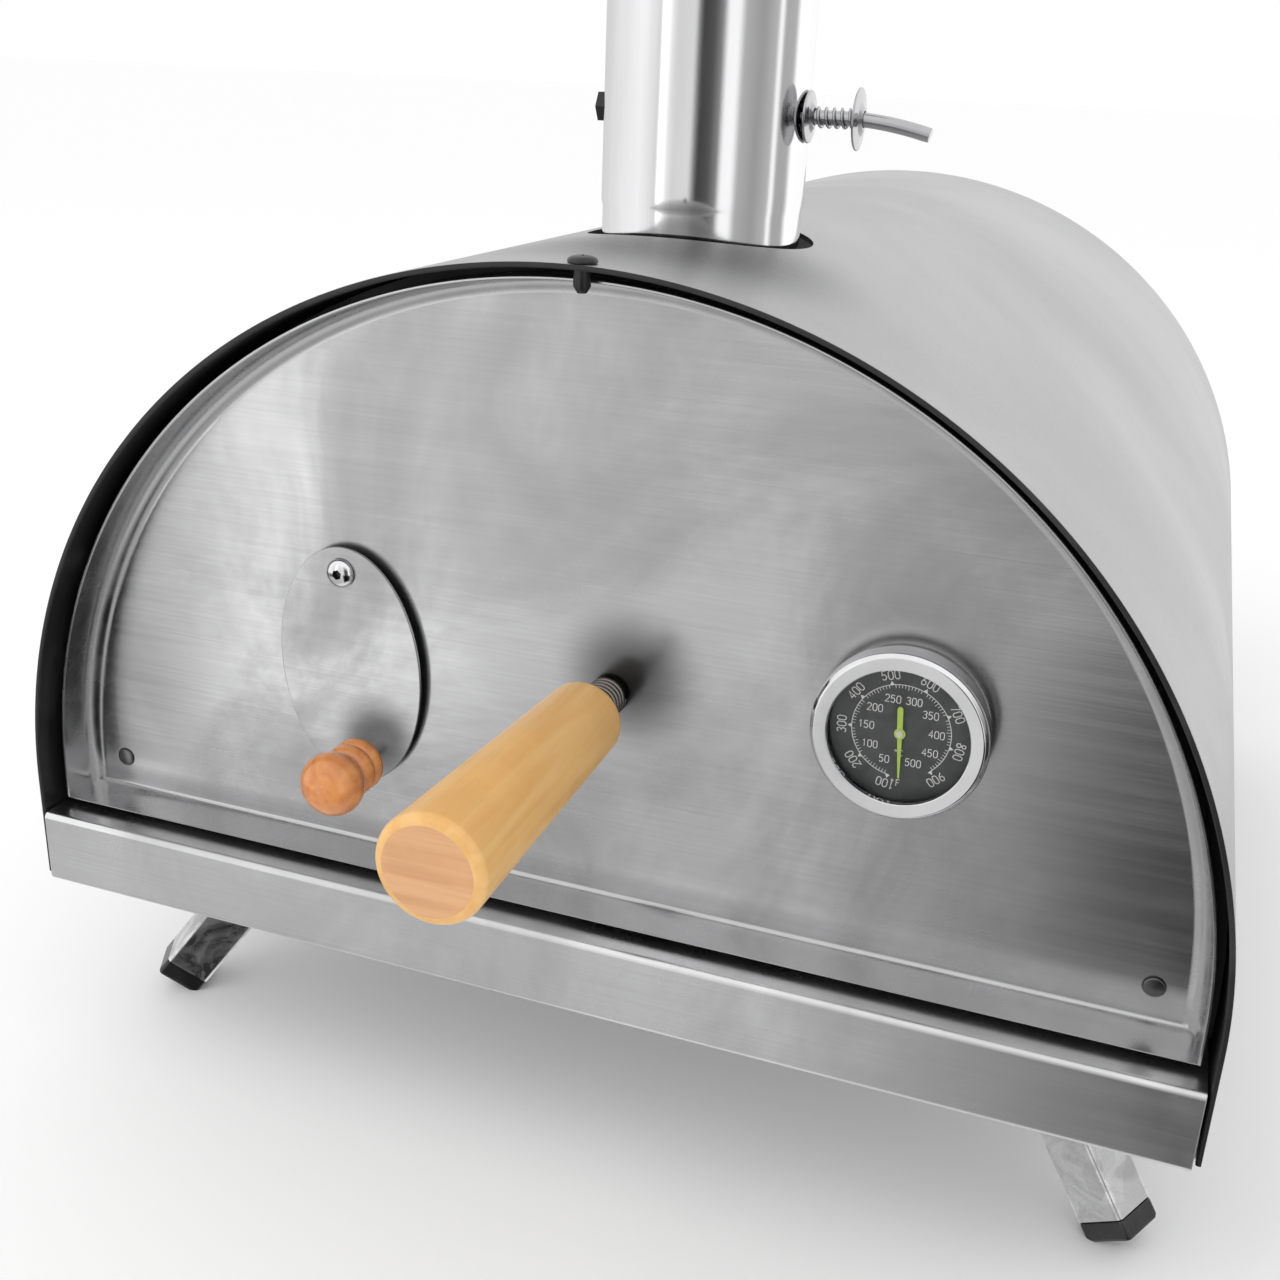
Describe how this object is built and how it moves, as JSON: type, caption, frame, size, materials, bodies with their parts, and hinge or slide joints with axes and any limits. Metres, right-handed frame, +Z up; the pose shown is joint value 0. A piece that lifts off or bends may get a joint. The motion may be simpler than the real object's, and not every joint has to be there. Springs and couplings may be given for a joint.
{
  "type": "wood fired pizza oven",
  "caption": "Arched stainless tabletop oven on folding legs, with a lift-off flanged door, swing vent cover, dial thermometer and a chimney with damper.",
  "frame": {"origin": "on the ground, under the middle of the overall box, which runs from the tip of the door handle to the rear edge of the shell", "axes": "+Z up, -Y towards the cook, so the door faces -Y, and +X to the cook's right"},
  "size_m": [0.49, 0.7362, 0.7488],
  "materials": {
    "shell_steel": "rolled stainless sheet, satin",
    "brushed_steel": "fine brushed stainless",
    "polished_steel": "polished stainless tube",
    "chrome": "bright plating",
    "galvanised": "zinc-plated steel",
    "black_steel": "black paint or black oxide",
    "dark_iron": "heat-darkened steel",
    "handle_wood": "light turned wood, satin lacquer",
    "knob_wood": "orange-brown turned wood, gloss lacquer",
    "dial_black": "dark printed dial",
    "pointer_green": "yellow-green paint",
    "lens_glass": "clear glass",
    "black_plastic": "moulded black plastic",
    "stone": "cordierite baking stone",
    "blanket": "ceramic fibre blanket"
  },
  "bodies": {
    "oven": {"outer_shell": "shell_steel", "inner_liner": "dark_iron", "insulation_arch": "blanket", "insulation_back": "blanket", "front_ring": "black_steel", "rear_panel": "black_steel", "inner_back_panel": "dark_iron", "base_plate": "galvanised", "front_sill": "brushed_steel", "hearth_pan": "dark_iron", "stone_rack": "dark_iron", "pizza_stone": "stone", "fire_basket": "dark_iron", "catch_screw": "black_steel", "chimney_tube": "polished_steel", "chimney_collar": "galvanised", "leg_bracket_front_left": "galvanised", "leg_bracket_front_right": "galvanised", "leg_bracket_rear_left": "galvanised", "leg_bracket_rear_right": "galvanised"},
    "door": {"door_pan": "brushed_steel", "door_inner_panel": "dark_iron", "door_handle": "handle_wood", "handle_collar": "chrome", "handle_stud": "galvanised", "handle_nut": "galvanised", "door_rivet_left": "brushed_steel", "door_rivet_right": "brushed_steel", "vent_pivot_screw": "chrome", "vent_pivot_nut": "galvanised", "thermometer_case": "chrome", "thermometer_bezel": "chrome", "thermometer_dial": "dial_black", "thermometer_lens": "lens_glass", "thermometer_stem": "galvanised", "thermometer_nut": "galvanised"},
    "vent": {"vent_cover": "brushed_steel", "vent_spacer": "galvanised", "vent_knob": "knob_wood", "vent_knob_screw": "galvanised"},
    "pointer": {"thermometer_pointer": "pointer_green"},
    "damper": {"damper_plate": "galvanised", "damper_rod": "galvanised", "damper_spring": "chrome", "damper_washer_inner": "chrome", "damper_washer_outer": "chrome", "damper_end_nut": "black_steel"},
    "cap": {"chimney_cap": "polished_steel"},
    "leg_front_left_folding": {"leg_front_left": "galvanised", "leg_pin_front_left": "galvanised", "leg_foot_front_left": "black_plastic"},
    "leg_front_right_folding": {"leg_front_right": "galvanised", "leg_pin_front_right": "galvanised", "leg_foot_front_right": "black_plastic"},
    "leg_rear_left_folding": {"leg_rear_left": "galvanised", "leg_pin_rear_left": "galvanised", "leg_foot_rear_left": "black_plastic"},
    "leg_rear_right_folding": {"leg_rear_right": "galvanised", "leg_pin_rear_right": "galvanised", "leg_foot_rear_right": "black_plastic"}
  },
  "joints": [
    {"name": "door_tilt", "type": "hinge", "parent": "oven", "child": "door", "pos_m": [0, -0.24015, 0.371], "axis": [-1, 0, 0], "range_deg": [0, 32]},
    {"name": "vent_swing", "type": "hinge", "parent": "door", "child": "vent", "pos_m": [-0.1035, -0.22585, 0.2468], "axis": [0, 1, 0], "range_deg": [-140, 95]},
    {"name": "pointer_turn", "type": "hinge", "parent": "door", "child": "pointer", "pos_m": [0.1225, -0.23035, 0.2238], "axis": [0, 1, 0], "range_deg": [-140, 140]},
    {"name": "damper_turn", "type": "hinge", "parent": "oven", "child": "damper", "pos_m": [0, -0.10795, 0.4218], "axis": [1, 0, 0], "range_deg": [0, 90]},
    {"name": "cap_lift", "type": "slide", "parent": "oven", "child": "cap", "axis": [0, 0, 1], "range_m": [0, 0.06]},
    {"name": "leg_fold_front_left", "type": "hinge", "parent": "oven", "child": "leg_front_left_folding", "pos_m": [-0.18, -0.16295, 0.07385], "axis": [0.454, -0.891, 0], "range_deg": [0, 127]},
    {"name": "leg_fold_front_right", "type": "hinge", "parent": "oven", "child": "leg_front_right_folding", "pos_m": [0.18, -0.16295, 0.07385], "axis": [0.454, 0.891, 0], "range_deg": [0, 127]},
    {"name": "leg_fold_rear_left", "type": "hinge", "parent": "oven", "child": "leg_rear_left_folding", "pos_m": [-0.18, 0.28105, 0.07385], "axis": [-0.454, -0.891, 0], "range_deg": [0, 127]},
    {"name": "leg_fold_rear_right", "type": "hinge", "parent": "oven", "child": "leg_rear_right_folding", "pos_m": [0.18, 0.28105, 0.07385], "axis": [-0.454, 0.891, 0], "range_deg": [0, 127]}
  ]
}
